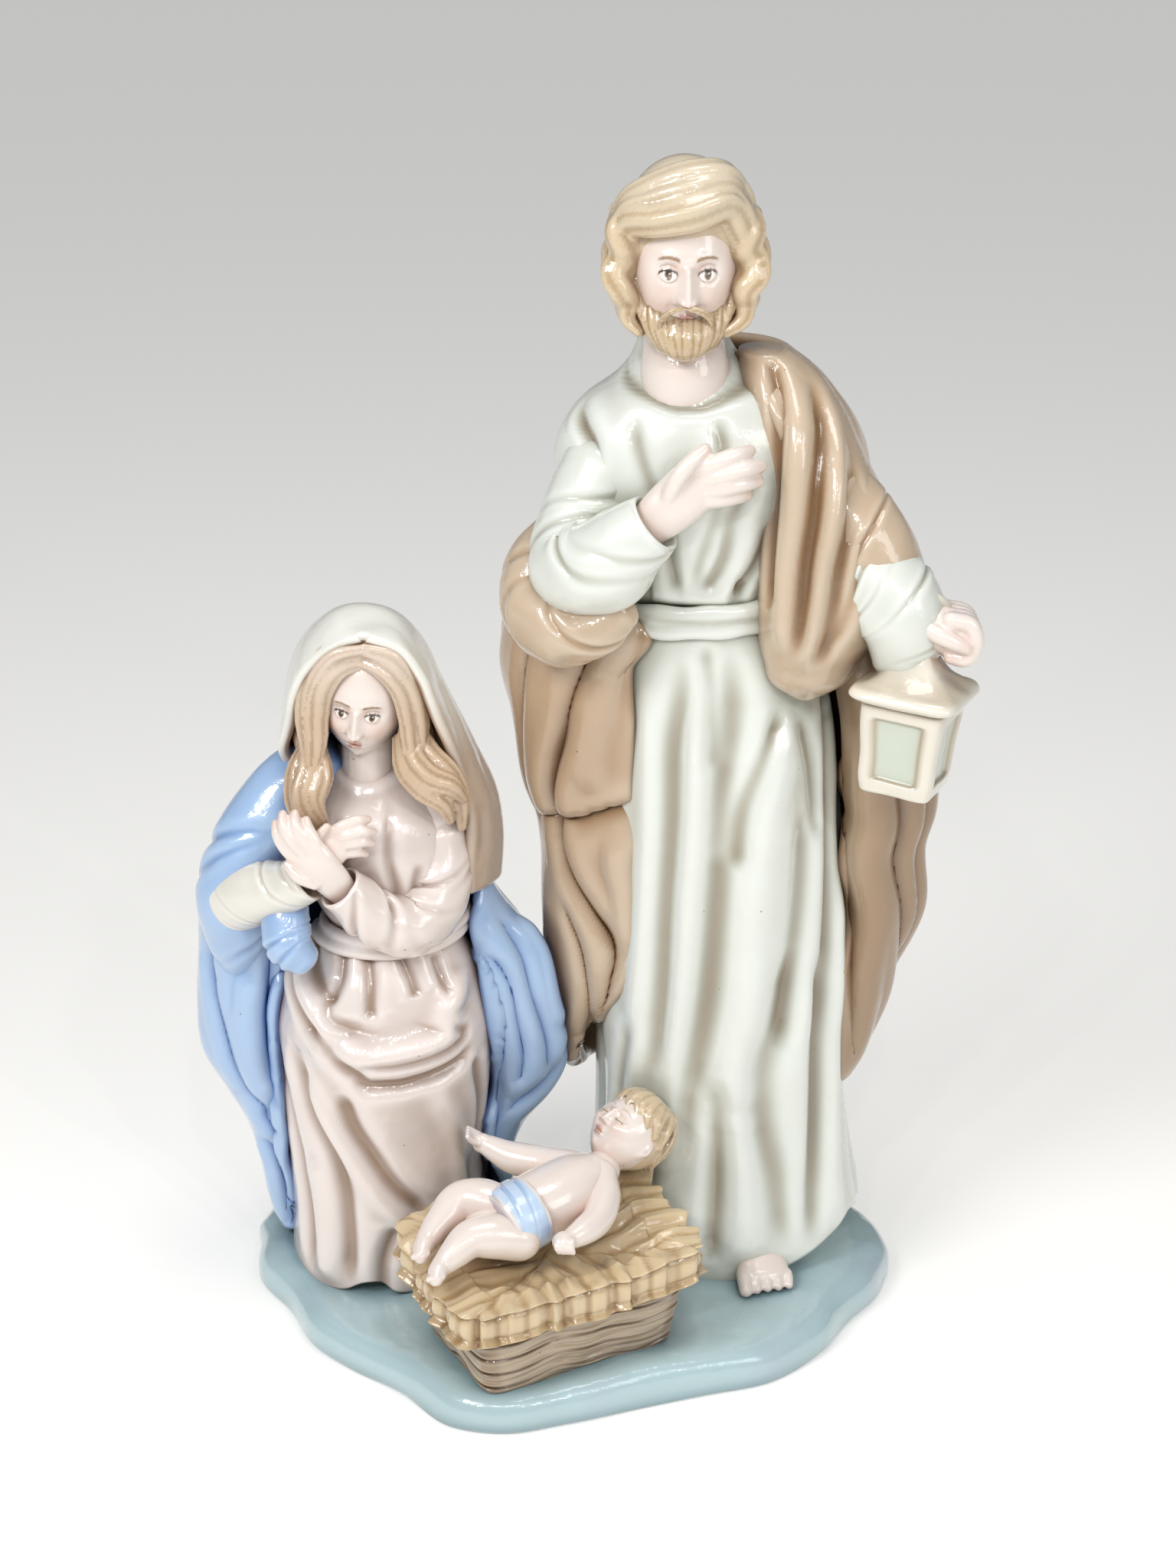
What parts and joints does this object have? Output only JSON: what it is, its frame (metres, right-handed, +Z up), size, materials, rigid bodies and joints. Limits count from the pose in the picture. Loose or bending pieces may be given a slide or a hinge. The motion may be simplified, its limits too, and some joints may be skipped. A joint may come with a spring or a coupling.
{
  "type": "nativity figure group",
  "caption": "Glazed porcelain devotional group: a standing bearded man with a lantern, a kneeling veiled woman and an infant on a straw-filled manger, on one ground slab.",
  "frame": {"origin": "middle of the ground slab's underside, on the surface it rests on", "axes": "+Z up the standing figure; -Y is the front that the faces look toward; +X is the viewer's right when facing the front"},
  "size_m": [0.1593, 0.1086, 0.2489],
  "materials": {
    "mint_glaze": "clear gloss glaze over pale mint underglaze",
    "beige_glaze": "clear gloss glaze over airbrushed beige",
    "skin_glaze": "clear gloss glaze over pinkish white body",
    "ochre_glaze": "clear gloss glaze over airbrushed ochre",
    "pink_glaze": "clear gloss glaze over pale pink underglaze",
    "blue_glaze": "clear gloss glaze over powder blue",
    "ivory_glaze": "clear gloss glaze over ivory",
    "aqua_glaze": "clear gloss glaze over pale aqua",
    "wood_glaze": "clear gloss glaze over greyish brown",
    "straw_glaze": "clear gloss glaze over straw colour"
  },
  "bodies": {
    "root": {"base": "aqua_glaze", "man_robe": "mint_glaze", "man_sash": "mint_glaze", "man_mantle": "beige_glaze", "man_right_sleeve": "beige_glaze", "man_right_cuff": "mint_glaze", "man_right_hand": "skin_glaze", "man_left_sleeve": "beige_glaze", "man_left_cuff": "mint_glaze", "man_left_hand": "skin_glaze", "man_head": "skin_glaze", "man_hair": "ochre_glaze", "man_beard": "ochre_glaze", "man_foot": "skin_glaze", "lantern_case": "ivory_glaze", "lantern_roof": "ivory_glaze", "lantern_ring": "ivory_glaze", "woman_robe": "pink_glaze", "woman_sash": "pink_glaze", "woman_mantle": "blue_glaze", "woman_mantle_end": "blue_glaze", "woman_veil": "ivory_glaze", "woman_right_sleeve": "ivory_glaze", "woman_left_sleeve": "pink_glaze", "woman_right_hand": "skin_glaze", "woman_left_hand": "skin_glaze", "woman_head": "skin_glaze", "woman_hair": "ochre_glaze", "manger_box": "wood_glaze", "straw": "straw_glaze", "infant_body": "skin_glaze", "infant_legs": "skin_glaze", "infant_cloth": "blue_glaze", "infant_right_arm": "skin_glaze", "infant_left_arm": "skin_glaze", "infant_head": "skin_glaze", "infant_hair": "ochre_glaze"}
  },
  "joints": []
}
